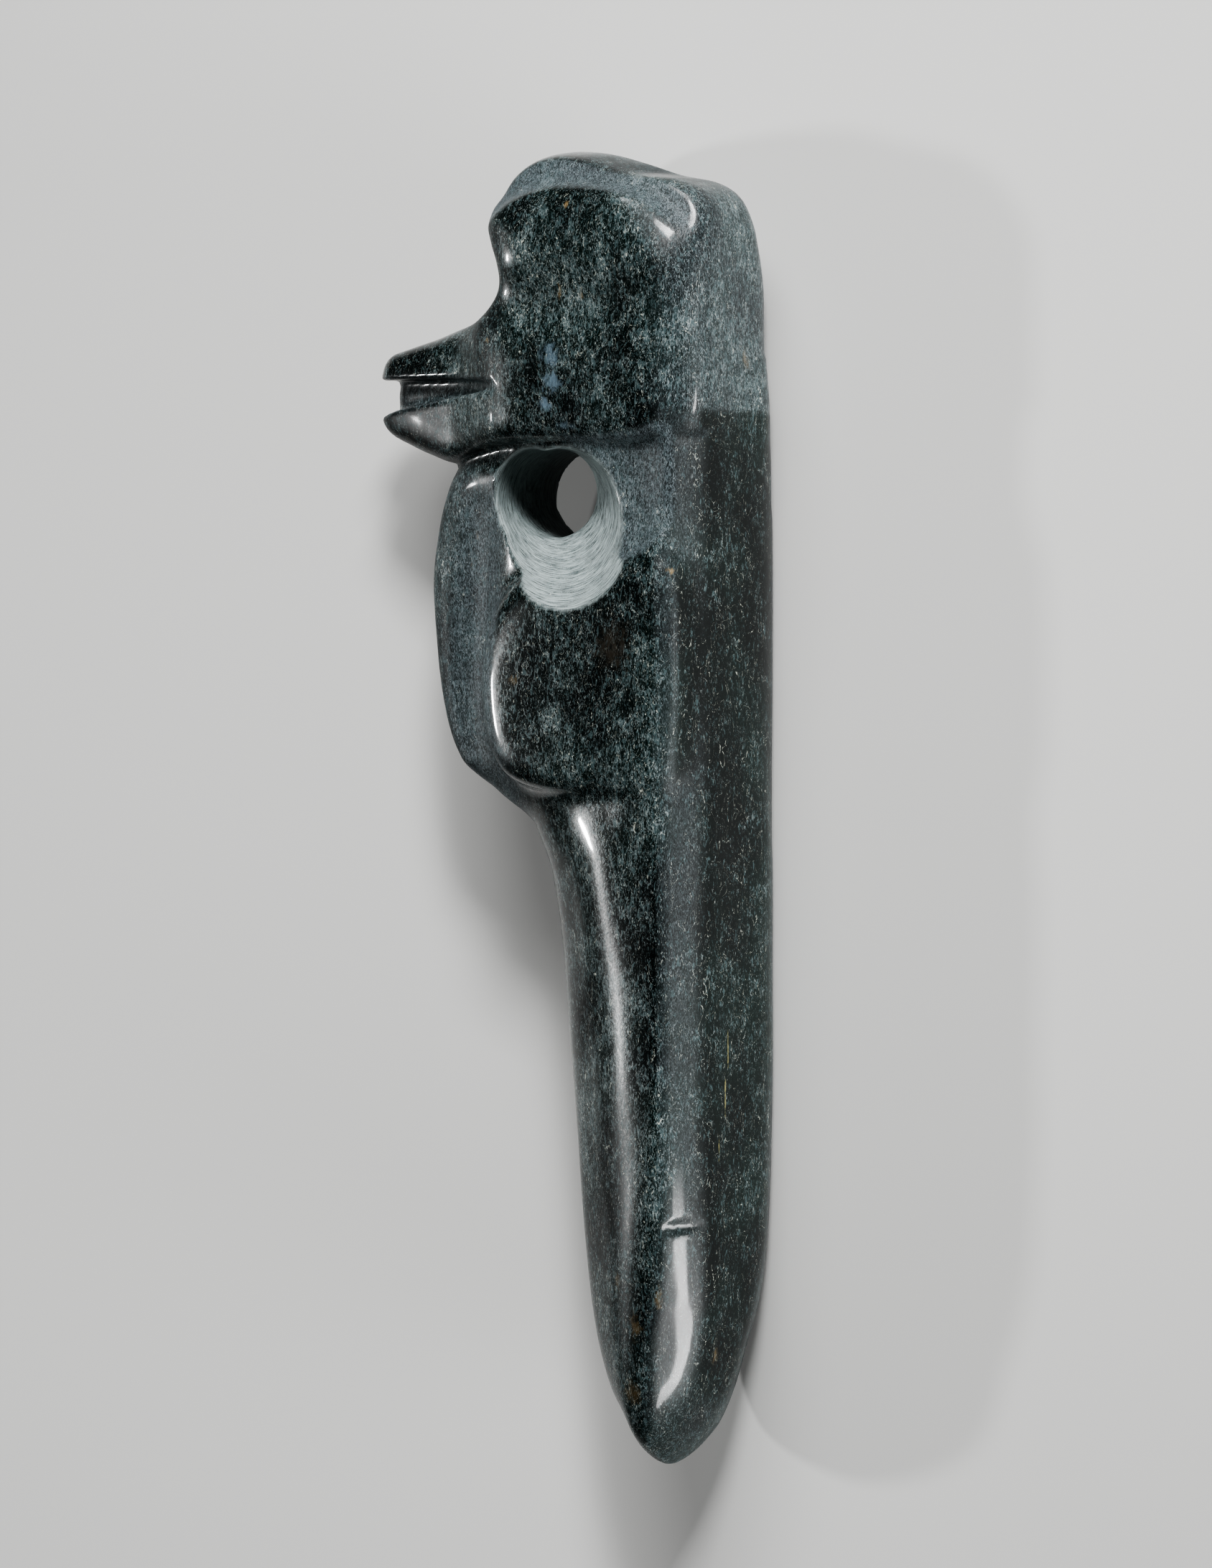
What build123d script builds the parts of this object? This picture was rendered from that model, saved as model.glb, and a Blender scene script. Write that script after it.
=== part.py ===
from build123d import *
from math import atan2, tan
import os

# A bird pendant cut from one piece of jade, in millimetres.
# It is modelled upright as it was carved: forward is where the beak points,
# up is towards the crest, and side is measured out from the mid-plane.
# Both sides are alike. At the end it is laid on its side, beak towards -X.

# Driving sizes
blade_length = 51.0
body_length = 26.0
head_height = 23.0
blade_depth = 14.1
blade_half_width = 6.7
chest_depth = 26.4
back_half_width = 7.2
flank_half_width = 5.9
head_depth = 18.6
head_half_width = 6.7
head_edge_round = 2.6
beak_reach = 31.4
beak_root_half_width = 5.6
crest_half_width = 4.8
crest_edge_round = 3.4
crest_groove_radius = 1.1
wing_depth = 19.4
wing_edge_round = 1.1
wing_groove_radius = 1.5
wing_groove_depth = 2.25
wing_groove_bend = 4.9
neck_scoop_radius = 4.9
neck_half_width = 3.6
neck_under_jaw = 4.5
neck_back_margin = 0.5
throat_radius = 3.25
throat_length = 3.0
cord_wear = 0.7
hole_rim_radius = 5.7
mouth_length = 12.4
mouth_gap = 2.4
mouth_depth = 1.4
cutter_reach = 3.6

# Levels along the height, from the cutting edge up
jaw_level = blade_length + body_length
neck_level = jaw_level - neck_under_jaw

# Cutters end this far out to the side, clear of the stone
outside = back_half_width + cutter_reach


# Frames and rounded outlines

def level_plane(up):
    """A plane across the stone at a height: x runs forward, y runs to the side."""
    return Plane(origin=(0, up, 0), x_dir=(-1, 0, 0), z_dir=(0, 1, 0))


def depth_plane(forward):
    """A plane across the beak: x runs to the side, y runs up."""
    return Plane(origin=(-forward, 0, 0), x_dir=(0, 0, 1), z_dir=(-1, 0, 0))


def side_plane(side):
    """A plane beside the mid-plane: x runs forward, y runs up."""
    return Plane(origin=(0, 0, side), x_dir=(-1, 0, 0), z_dir=(0, 0, -1))


def corner_radii(points, shares):
    """The radius of each corner, where share 1 uses up half of its shorter side."""
    radii = []
    for index, share in enumerate(shares):
        corner = Vector(*points[index])
        before = Vector(*points[index - 1]) - corner
        after = Vector(*points[(index + 1) % len(points)]) - corner
        opening = abs(atan2(before.cross(after).length, before.dot(after)))
        reach = share * min(before.length, after.length) / 2
        radii.append(reach * tan(opening / 2))
    return radii


def rounded_face(points, shares):
    """A flat face inside a closed outline of straight runs and tangent arcs."""
    radii = corner_radii(points, shares)
    return make_face(FilletPolyline(*points, radius=radii, close=True))


def mirrored(points):
    """The points of one side, followed by the same points on the far side."""
    return points + [(forward, -side) for forward, side in reversed(points)]


def both_sides(cutter):
    """A solid on the near side together with its mirror image."""
    return cutter + mirror(cutter, about=Plane.XY)


# The blade, the body and the slab behind them, as one lofted stone

# Each row is a level, with its three corners on one side. The columns are:
# up, back, back side, shoulder, shoulder side, front, front side, and how far
# the back, the shoulder and the front are rounded. Up is a share of the
# blade's or the body's length, back, shoulder and front of the depth, and the
# sides of the half width.
BLADE_LEVELS = [
    (0.000, 0.39, 0.10, 0.41, 0.14, 0.43, 0.10, 0.9, 0.9, 0.9),
    (0.012, 0.35, 0.28, 0.41, 0.40, 0.48, 0.28, 0.9, 0.9, 0.9),
    (0.034, 0.29, 0.48, 0.40, 0.66, 0.52, 0.44, 0.9, 0.9, 0.9),
    (0.061, 0.22, 0.62, 0.39, 0.84, 0.57, 0.50, 0.9, 0.9, 0.9),
    (0.115, 0.16, 0.76, 0.38, 0.96, 0.68, 0.46, 0.9, 0.9, 0.9),
    (0.170, 0.11, 0.84, 0.39, 0.99, 0.76, 0.42, 0.9, 0.9, 0.9),
    (0.250, 0.05, 0.93, 0.40, 1.00, 0.83, 0.38, 0.9, 0.9, 0.9),
    (0.360, 0.00, 0.98, 0.43, 1.00, 0.88, 0.35, 0.8, 0.8, 0.9),
    (0.570, 0.00, 1.00, 0.48, 1.00, 0.95, 0.34, 0.6, 0.7, 0.9),
    (0.740, 0.00, 1.00, 0.54, 1.00, 1.01, 0.35, 0.5, 0.7, 0.9),
    (0.880, 0.00, 1.00, 0.62, 0.98, 1.08, 0.38, 0.4, 0.7, 0.9),
]
BODY_LEVELS = [
    (-0.045, 0.00, 1.00, 0.40, 0.98, 0.69, 0.46, 0.40, 0.7, 0.9),
    (0.050, 0.00, 1.00, 0.46, 0.98, 0.87, 0.46, 0.35, 0.7, 0.9),
    (0.160, 0.00, 1.00, 0.56, 0.98, 0.94, 0.46, 0.30, 0.7, 0.9),
    (0.360, 0.00, 1.00, 0.61, 0.98, 0.985, 0.46, 0.28, 0.7, 0.9),
    (0.620, 0.00, 1.00, 0.62, 0.98, 1.00, 0.46, 0.28, 0.7, 0.9),
    (0.830, 0.00, 0.97, 0.62, 0.98, 0.965, 0.46, 0.30, 0.7, 0.9),
    (0.960, 0.00, 0.96, 0.62, 0.98, 0.94, 0.44, 0.34, 0.7, 0.9),
    (1.100, 0.02, 0.94, 0.62, 0.98, 0.80, 0.40, 0.36, 0.7, 0.9),
]


def level_face(up, depth, back_width, flank_width, row):
    """One level of the stone, from its row of shares."""
    _, back, back_side, shoulder, shoulder_side, front, front_side, *rounding = row
    corners = mirrored([
        (back * depth, back_side * back_width),
        (shoulder * depth, shoulder_side * flank_width),
        (front * depth, front_side * flank_width),
    ])
    return level_plane(up) * rounded_face(corners, rounding + rounding[::-1])


def carved_stone():
    """The stone from the cutting edge to inside the head."""
    blade = [
        level_face(row[0] * blade_length, blade_depth, blade_half_width, blade_half_width, row)
        for row in BLADE_LEVELS
    ]
    body = [
        level_face(
            blade_length + row[0] * body_length, chest_depth, back_half_width, flank_half_width, row
        )
        for row in BODY_LEVELS
    ]
    return loft(blade + body)


# The wings, a raised panel on each side, with a groove round each

# Forward is a share of the wing's depth, up a share of the body's length.
WING_OUTLINE = [
    # forward, up, rounding
    (0.14, 0.00, 0.3),
    (0.90, 0.00, 0.95),
    (1.00, 0.42, 0.6),
    (0.97, 0.66, 0.8),
    (0.60, 0.82, 0.5),
    (0.14, 0.82, 0.3),
]


def wing_points(grow=0.0):
    """The wing's outline as lengths, moved out by a margin along the front and the foot."""
    return [
        (forward * wing_depth + grow * (forward > 0.5), blade_length + up * body_length - grow)
        for forward, up, _ in WING_OUTLINE
    ]


def wing():
    """The near wing, with its outer edge rounded over."""
    shares = [rounding for _, _, rounding in WING_OUTLINE]
    flat = side_plane(0) * rounded_face(wing_points(), shares)
    panel = extrude(flat, back_half_width, dir=(0, 0, 1))
    outer_edges = panel.faces().sort_by(Axis.Z)[-1].edges()
    return fillet(outer_edges, wing_edge_round)


def wing_groove():
    """The groove that the carver ran along the front and the foot of the near wing."""
    points = wing_points(grow=wing_groove_radius)[:4]
    groove_side = flank_half_width + wing_groove_radius - wing_groove_depth
    route = side_plane(groove_side) * FilletPolyline(*points, radius=wing_groove_bend)
    profile = Plane(route @ 0, z_dir=route % 0) * Circle(wing_groove_radius)
    return sweep(profile, path=route) + Pos(*(route @ 0)) * Sphere(wing_groove_radius)


# The head, with a lobe on each side and the crest over it

# Forward is a share of the head's depth, up a share of its height over the jaw.
HEAD_OUTLINE = [
    # forward, up, rounding
    (0.00, 0.00, 0.0),
    (0.00, 0.77, 0.8),
    (0.20, 0.88, 0.8),
    (0.50, 0.92, 0.8),
    (0.84, 0.90, 0.8),
    (1.075, 0.77, 1.0),
    (0.95, 0.57, 1.0),
    (1.00, 0.42, 0.5),
    (1.00, 0.24, 0.9),
    (0.78, 0.00, 0.9),
]
CREST_OUTLINE = [
    # forward, up, rounding
    (0.02, 0.30, 0.0),
    (0.02, 0.80, 1.0),
    (0.20, 0.895, 0.8),
    (0.46, 0.975, 0.8),
    (0.60, 1.000, 0.8),
    (0.80, 1.000, 0.8),
    (0.99, 0.945, 1.0),
    (1.09, 0.780, 1.0),
    (0.93, 0.30, 0.0),
]


def head_plate(outline, half_width, edge_round):
    """A plate of the head's side view, with both its outer edges rounded over."""
    points = [
        (forward * head_depth, jaw_level + up * head_height) for forward, up, _ in outline
    ]
    shares = [rounding for _, _, rounding in outline]
    plate = extrude(side_plane(0) * rounded_face(points, shares), half_width, both=True)
    faces = plate.faces().sort_by(Axis.Z)
    return fillet(faces[0].edges() + faces[-1].edges(), edge_round)


def crest_groove():
    """The groove between the crest and the near lobe, bent over the head like an arch."""
    ends = [HEAD_OUTLINE[1], HEAD_OUTLINE[3], HEAD_OUTLINE[5]]
    points = [
        (forward * head_depth, jaw_level + up * head_height + crest_groove_radius / 2)
        for forward, up, _ in ends
    ]
    route = side_plane(crest_half_width + crest_groove_radius) * ThreePointArc(*points)
    profile = Plane(route @ 0, z_dir=route % 0) * Circle(crest_groove_radius)
    return sweep(profile, path=route)


# The beak, with the mouth cut round its tip

# Forward is a share of the beak's reach, the levels of the head's height over
# the jaw, and the half width of the beak's at its root.
BEAK_SECTIONS = [
    # forward, foot, top, half width
    (0.50, -0.02, 0.54, 1.12),
    (0.62, -0.03, 0.50, 0.96),
    (0.72, -0.05, 0.452, 0.78),
    (0.82, -0.025, 0.402, 0.60),
    (0.90, 0.022, 0.368, 0.46),
    (0.97, 0.062, 0.330, 0.34),
    (1.00, 0.110, 0.290, 0.20),
]

# The mouth's levels are shares of the head's height over the jaw.
MOUTH_CORNER_UP = 0.21
MOUTH_TIP_UP = 0.195


def beak():
    """Both mandibles and the face behind them."""
    sections = []
    for forward, foot, top, half_width in BEAK_SECTIONS:
        side = half_width * beak_root_half_width
        corners = [
            (side, jaw_level + foot * head_height),
            (side, jaw_level + top * head_height),
            (-side, jaw_level + top * head_height),
            (-side, jaw_level + foot * head_height),
        ]
        face = rounded_face(corners, [0.85] * len(corners))
        sections.append(depth_plane(forward * beak_reach) * face)
    return loft(sections)


def mouth():
    """The wedge between the mandibles, which leaves a wall of stone behind the tip."""
    mouth_back = beak_reach - mouth_length
    mouth_end = beak_reach + cutter_reach
    end_level = jaw_level + MOUTH_TIP_UP * head_height
    half_gap = mouth_gap / 2 * (mouth_end - mouth_back) / mouth_length
    gap = [
        (mouth_back, jaw_level + MOUTH_CORNER_UP * head_height),
        (mouth_end, end_level + half_gap),
        (mouth_end, end_level - half_gap),
    ]
    wedge = extrude(side_plane(0) * make_face(Polyline(*gap, close=True)), outside, both=True)
    root_side = beak_root_half_width - mouth_depth / 2
    wall = mirrored([
        (0, root_side),
        (mouth_back, root_side),
        (beak_reach - mouth_depth, mouth_depth / 2),
    ])
    kept = level_plane(jaw_level) * make_face(Polyline(*wall, close=True))
    return wedge - extrude(kept, head_height, both=True)


# The neck scoop on each side and the hole for the cord

# Where the hole's throat and its outer rim lie: forward is a share of the
# chest's depth, up of the body's length, and side of the back's half width.
THROAT_FORWARD, THROAT_UP = 0.57, 0.877
RIM_FORWARD, RIM_UP, RIM_SIDE = 0.435, 0.792, 0.87


def neck_scoop():
    """The round-ended hollow that thins the near side of the neck under the jaw."""
    back_end = (neck_back_margin + neck_scoop_radius, neck_level)
    front_end = (beak_reach, neck_level)
    axis_side = neck_half_width + neck_scoop_radius
    route = side_plane(axis_side) * Line(front_end, back_end)
    channel = sweep(Plane(route @ 0, z_dir=route % 0) * Circle(neck_scoop_radius), path=route)
    return channel + Pos(*(route @ 1)) * Sphere(neck_scoop_radius)


def hole_circle(side, forward, up, radius):
    """A circle across the hole, at shares of the chest's depth and the body's length."""
    place = Pos(forward * chest_depth, blade_length + up * body_length)
    return side_plane(side) * place * Circle(radius)


def hole_cone():
    """The cone drilled from the near side, slanting in towards the throat."""
    start = throat_length / 2
    reach = (outside - start) / (RIM_SIDE * back_half_width - start)
    narrow = hole_circle(start, THROAT_FORWARD, THROAT_UP, throat_radius)
    wide = hole_circle(
        outside,
        THROAT_FORWARD + (RIM_FORWARD - THROAT_FORWARD) * reach,
        THROAT_UP + (RIM_UP - THROAT_UP) * reach,
        throat_radius + (hole_rim_radius - throat_radius) * reach,
    )
    return loft([narrow, wide])


def cord_run():
    """The straight way that the cord wore from the near side to the throat."""
    narrow = hole_circle(throat_length / 2, THROAT_FORWARD, THROAT_UP, throat_radius)
    wide = hole_circle(outside, THROAT_FORWARD, THROAT_UP, throat_radius + cord_wear)
    return loft([narrow, wide])


def throat():
    """The straight middle of the hole."""
    circle = hole_circle(0, THROAT_FORWARD, THROAT_UP, throat_radius)
    return extrude(circle, throat_length / 2, both=True)


# The whole pendant

def pendant():
    stone = carved_stone() - both_sides(wing_groove()) + both_sides(wing())
    head = head_plate(HEAD_OUTLINE, head_half_width, head_edge_round)
    crest = head_plate(CREST_OUTLINE, crest_half_width, crest_edge_round)
    stone = stone - both_sides(neck_scoop())
    stone = stone + head - both_sides(crest_groove()) + crest
    stone = stone + beak() - mouth()
    return stone - both_sides(hole_cone() + cord_run()) - throat()


def laid_down(stone):
    """The stone on its far side, with the middle of its outline over the origin."""
    box = stone.bounding_box()
    centre = box.center()
    return Pos(-centre.X, -centre.Y, -box.min.Z) * stone


os.makedirs("parts", exist_ok=True)
bird_pendant = laid_down(pendant())
export_step(bird_pendant, "parts/bird_pendant.step")
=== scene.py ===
from math import cos, radians, sin

import bpy
import numpy as np
import openvdb
from mathutils import Matrix, Vector


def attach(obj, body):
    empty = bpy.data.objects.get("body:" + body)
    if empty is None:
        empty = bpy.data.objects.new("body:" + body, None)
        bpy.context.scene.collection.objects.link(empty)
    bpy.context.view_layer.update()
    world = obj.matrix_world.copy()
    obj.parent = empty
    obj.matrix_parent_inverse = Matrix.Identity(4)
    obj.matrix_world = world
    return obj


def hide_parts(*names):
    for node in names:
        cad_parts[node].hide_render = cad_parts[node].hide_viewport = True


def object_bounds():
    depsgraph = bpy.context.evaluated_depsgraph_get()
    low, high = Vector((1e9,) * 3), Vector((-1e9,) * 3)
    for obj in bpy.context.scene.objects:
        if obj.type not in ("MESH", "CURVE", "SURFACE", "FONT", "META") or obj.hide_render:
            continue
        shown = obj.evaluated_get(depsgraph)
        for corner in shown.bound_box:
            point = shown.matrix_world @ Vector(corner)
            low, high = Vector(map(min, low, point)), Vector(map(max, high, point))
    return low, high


# The looks of the jade bird pendant. The stone is sculpted as one smooth field
# and then meshed. In the field, forward is where the beak points, up is towards
# the crest, side is measured out from the mid-plane, and every length is in
# hundredths of the pendant's height, which the frame gives.

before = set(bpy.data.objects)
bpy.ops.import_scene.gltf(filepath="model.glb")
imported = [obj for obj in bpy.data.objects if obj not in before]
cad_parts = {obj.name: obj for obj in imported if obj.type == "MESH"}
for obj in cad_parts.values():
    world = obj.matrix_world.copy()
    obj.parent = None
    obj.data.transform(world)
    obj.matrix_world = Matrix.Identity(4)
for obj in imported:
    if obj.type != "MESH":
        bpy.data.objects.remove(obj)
frame_low, frame_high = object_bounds()

# Driving sizes
BEAK_REACH = 31.4
HALF_WIDTH = 7.2

unit = (frame_high.y - frame_low.y) / 100
back_x = frame_low.x + BEAK_REACH * unit
middle_z = (frame_low.z + frame_high.z) / 2


# Smooth joins of fields, each with the width of the join

def smooth_min(a, b, width):
    """The union of two fields, with a fillet where they meet."""
    overlap = np.clip(width - np.abs(a - b), 0, None) / width
    return np.minimum(a, b) - overlap ** 3 * width / 6


def smooth_max(a, b, width):
    """The overlap of two fields, with a rounded edge where they meet."""
    return -smooth_min(-a, -b, width)


def carve(stone, cutter, width):
    """The stone without the cutter."""
    return smooth_max(stone, -cutter, width)


def step_between(value, low, high):
    """0 below low, 1 above high, and a smooth rise between them."""
    share = np.clip((value - low) / (high - low), 0, 1)
    return share * share * (3 - 2 * share)


# The mid-plane's sharp turn from one side to the other is rounded by this much
MIDDLE_ROUNDING = 0.5


def outward(side):
    """How far out from the mid-plane a place lies."""
    return np.sqrt(side * side + MIDDLE_ROUNDING ** 2)


# Curves through few points

def smooth_curve(at, places, values):
    """A curve through the values at the places, which never overshoots them."""
    places, values = np.asarray(places, float), np.asarray(values, float)
    gaps = np.diff(places)
    slopes = np.diff(values) / gaps
    before, after = slopes[:-1], slopes[1:]
    same_way = before * after > 0
    tangents = np.zeros(len(places))
    tangents[0], tangents[-1] = slopes[0], slopes[-1]
    tangents[1:-1][same_way] = (2 * before * after / (before + after + 1e-12))[same_way]
    index = np.clip(np.searchsorted(places, at) - 1, 0, len(gaps) - 1)
    gap = gaps[index]
    t = np.clip((at - places[index]) / gap, 0, 1)
    start, end = values[index], values[index + 1]
    rise = end - start
    bend = tangents[index] * gap * t * (1 - t) ** 2 - tangents[index + 1] * gap * t * t * (1 - t)
    return start + rise * t * t * (3 - 2 * t) + bend


def rounded_line(points, closed, steps=6):
    """The points of a smooth line through a few given ones."""
    points = np.asarray(points, float)
    if closed:
        before, after = np.roll(points, 1, 0), np.roll(points, -1, 0)
        starts = range(len(points))
    else:
        before = np.vstack([2 * points[:1] - points[1:2], points[:-1]])
        after = np.vstack([points[1:], 2 * points[-1:] - points[-2:-1]])
        starts = range(len(points) - 1)
    tangents = (after - before) / 2
    t = (np.arange(steps) / steps)[:, None]
    line = []
    for i in starts:
        j = (i + 1) % len(points)
        line.append(
            points[i] * (1 + 2 * t) * (1 - t) ** 2
            + tangents[i] * t * (1 - t) ** 2
            + points[j] * t * t * (3 - 2 * t)
            - tangents[j] * t * t * (1 - t)
        )
    if not closed:
        line.append(points[-1:])
    return np.vstack(line)


def distance_to_line(places, line):
    """How far each place lies from an open line, in all the directions that the line has."""
    nearest = np.inf
    for start, end in zip(line[:-1], line[1:]):
        step = end - start
        offsets = [place - at for place, at in zip(places, start)]
        along = sum(offset * part for offset, part in zip(offsets, step)) / (step @ step)
        along = np.clip(along, 0, 1)
        gap = sum((offset - along * part) ** 2 for offset, part in zip(offsets, step))
        nearest = np.minimum(nearest, gap)
    return np.sqrt(nearest)


def outline_field(forward, up, points):
    """The field of a closed outline in the side view: below zero inside."""
    line = rounded_line(points, closed=True)
    line = np.vstack([line, line[:1]])
    distance = distance_to_line((forward, up), line)
    inside = np.zeros(distance.shape, bool)
    for (ax, ay), (bx, by) in zip(line[:-1], line[1:]):
        if ay != by:
            crosses = (ay > up) != (by > up)
            inside ^= crosses & (forward < ax + (up - ay) * (bx - ax) / (by - ay))
    return np.where(inside, -distance, distance)


def tube(places, points, radius):
    """The field of a tube that follows an open line."""
    return distance_to_line(places, rounded_line(points, closed=False, steps=3)) - radius


# The stone from the cutting edge to inside the head. Each row is a level. Its
# section is flat at the back as far as the back side, bevelled to the side,
# then goes to the shoulder and on to the front.
LEVELS = [
    # up, back, back side, bevel, half width, shoulder, shoulder side, front, front side, softness
    (0.0, 5.60, 0.05, 5.65, 0.10, 5.75, 0.10, 5.80, 0.05, 0.05),
    (0.4, 4.95, 0.80, 5.30, 1.65, 6.00, 1.70, 6.50, 0.80, 0.35),
    (1.7, 3.90, 1.70, 4.85, 3.65, 6.20, 3.85, 7.35, 1.80, 0.60),
    (3.1, 3.00, 2.20, 4.30, 4.75, 6.30, 5.00, 8.15, 2.20, 0.75),
    (6.0, 1.75, 2.70, 3.60, 5.70, 6.20, 5.95, 9.90, 2.60, 0.90),
    (9.0, 1.10, 3.20, 3.00, 6.15, 6.10, 6.35, 11.00, 2.60, 1.00),
    (13.0, 0.40, 4.00, 2.00, 6.50, 6.00, 6.55, 11.90, 2.50, 1.00),
    (18.5, 0.05, 4.60, 1.40, 6.75, 6.05, 6.65, 12.60, 2.40, 1.00),
    (29.0, 0.00, 4.95, 1.15, 6.85, 6.40, 6.65, 13.55, 2.35, 1.00),
    (38.0, 0.00, 5.00, 1.10, 6.85, 7.30, 6.60, 14.35, 2.40, 1.00),
    (45.0, 0.00, 5.00, 1.15, 6.85, 8.75, 6.52, 15.30, 2.60, 1.00),
    (48.5, 0.00, 5.00, 1.25, 6.85, 10.20, 6.42, 17.00, 2.80, 1.05),
    (51.0, 0.00, 4.80, 1.25, 6.90, 12.00, 6.25, 20.70, 2.90, 1.15),
    (53.8, 0.00, 4.70, 1.25, 6.90, 14.00, 6.05, 23.80, 2.95, 1.25),
    (57.5, 0.00, 4.70, 1.25, 6.90, 15.60, 5.85, 25.10, 2.95, 1.30),
    (62.0, 0.00, 4.70, 1.25, 6.90, 16.20, 5.75, 25.80, 2.95, 1.30),
    (67.0, 0.00, 4.70, 1.25, 6.90, 16.40, 5.70, 26.10, 2.95, 1.30),
    (71.0, 0.00, 4.70, 1.25, 6.90, 16.40, 5.70, 25.65, 2.90, 1.30),
    (74.7, 0.00, 4.70, 1.25, 6.85, 16.40, 5.60, 24.70, 2.70, 1.30),
    (80.0, 0.00, 4.90, 1.60, 6.50, 13.50, 5.20, 20.00, 2.40, 1.20),
    (84.0, 0.20, 4.60, 1.90, 6.00, 12.00, 4.80, 16.50, 2.40, 1.20),
]
# How wide each edge of a section is rounded, where the softness is 1
BACK_SOFTNESS, BEVEL_SOFTNESS = 1.6, 1.1
SHOULDER_SOFTNESS, FRONT_SOFTNESS = 2.0, 3.2
# How much the flat back runs forward towards the near side
BACK_LEAN = 0.085
# The bevel is wider on the near side: how much it takes there from the back and
# from the side, and between which places across and up it gets so wide
NEAR_BEVEL_BACK, NEAR_BEVEL_SIDE = 1.0, 0.55
NEAR_BEVEL_ACROSS, NEAR_BEVEL_UP = (0.0, 4.0), (4.0, 12.0)


def edge_field(forward, out, start, end):
    """The signed distance from the straight edge between two corners of a section."""
    run, rise = end[0] - start[0], end[1] - start[1]
    length = np.sqrt(run * run + rise * rise) + 1e-9
    return ((out - start[1]) * run - (forward - start[0]) * rise) / length


def stone_core(forward, up, side, out):
    """The blade and the body, without wings or head."""
    levels, *columns = zip(*LEVELS)
    # The root spreads the levels out at the cutting edge, where the section changes fast
    at = np.sqrt(np.clip(up, 0, None))
    back, back_side, bevel, half_width, shoulder, shoulder_side, front, front_side, softness = (
        smooth_curve(at, np.sqrt(levels), column) for column in columns
    )
    near_side = step_between(side, *NEAR_BEVEL_ACROSS) * step_between(up, *NEAR_BEVEL_UP)
    back_side = back_side - NEAR_BEVEL_BACK * near_side
    bevel = bevel + NEAR_BEVEL_SIDE * near_side
    lean = BACK_LEAN * side * softness
    flat_back = back + lean - forward
    bevelled = edge_field(forward - lean, out, (back, back_side), (bevel, half_width))
    flank_back = edge_field(forward, out, (bevel, half_width), (shoulder, shoulder_side))
    flank_front = edge_field(forward, out, (shoulder, shoulder_side), (front, front_side))
    field = smooth_max(flat_back, bevelled, BACK_SOFTNESS * softness)
    field = smooth_max(field, flank_back, BEVEL_SOFTNESS * softness)
    field = smooth_max(field, flank_front, SHOULDER_SOFTNESS * softness)
    field = smooth_max(field, forward - front, FRONT_SOFTNESS * softness)
    return np.maximum(np.maximum(field, -up), up - levels[-1])


# Outlines in the side view, as forward and up

WING = [
    (2.6, 51.0), (8.0, 50.9), (13.4, 51.1), (16.9, 52.3), (18.7, 55.0), (19.5, 59.0), (19.1, 62.4),
    (18.2, 65.4), (15.6, 67.8), (10.0, 69.0), (2.6, 69.0), (1.2, 66.0), (1.2, 55.0),
]
FACE = [
    (0.0, 80.0), (0.0, 86.0), (0.0, 92.0), (0.0, 94.2), (0.6, 96.0), (1.8, 97.1), (3.8, 97.8),
    (6.6, 98.1), (10.7, 98.3), (13.7, 98.1), (17.0, 97.4), (19.2, 96.1), (19.8, 94.3), (19.1, 92.7),
    (18.2, 91.3), (17.9, 90.0), (18.4, 88.8), (19.9, 87.6), (23.3, 86.7), (26.0, 85.9), (28.8, 85.2),
    (30.4, 84.7), (31.3, 83.6), (31.5, 81.6), (31.2, 79.8), (30.2, 78.6), (28.3, 77.7), (26.1, 76.9),
    (23.3, 76.3), (20.0, 77.2), (16.0, 77.7), (8.0, 77.7), (1.4, 78.0),
]
CREST = [
    (0.9, 84.0), (0.4, 90.0), (1.1, 94.2), (3.2, 96.7), (6.4, 98.35), (9.2, 99.3), (11.8, 99.9),
    (14.3, 99.95), (16.4, 99.3), (18.1, 97.9), (18.7, 96.0), (18.0, 93.0), (15.0, 88.0), (6.0, 84.0),
]

# The wing's crown: how fast it falls away from its middle, and past its upper
# front corner, where forward and up together come to more than the corner's
WING_MIDDLE, WING_CROWN = 7.0, 0.0055
WING_CORNER, WING_CORNER_CROWN = 77.5, 0.012
# The crest's half width, and how fast its outline falls away sideways
CREST_HALF_WIDTH, CREST_CROWN = 5.0, 0.035
HEAD_PLAN = [
    # forward, half width
    (0.0, 6.2), (1.2, 6.6), (3.0, 6.75), (6.0, 6.85), (11.0, 6.85), (15.0, 6.8), (17.5, 6.5),
    (19.0, 5.95), (20.5, 5.1), (22.6, 4.15), (25.7, 3.3), (28.3, 2.6), (30.4, 1.85), (31.6, 1.0),
]
# The upper mandible leans in above a level, more and more along its root
BEAK_LEVEL, BEAK_TAPER, BEAK_ROOT = 81.6, 0.16, (19.0, 23.0)
# The bevel along the back of the head: its two corners, as forward and out
HEAD_BEVEL = ((0.0, 5.3), (1.4, 6.8))
# The lobes curve in above a level
LOBE_LEVEL, LOBE_CROWN = 91.0, 0.015
# The soft facet at the lobe's upper back corner: its middle and the way it faces
LOBE_FACET = ((5.9, 95.4, 6.95), (-0.49, 0.39, 0.78))

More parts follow.
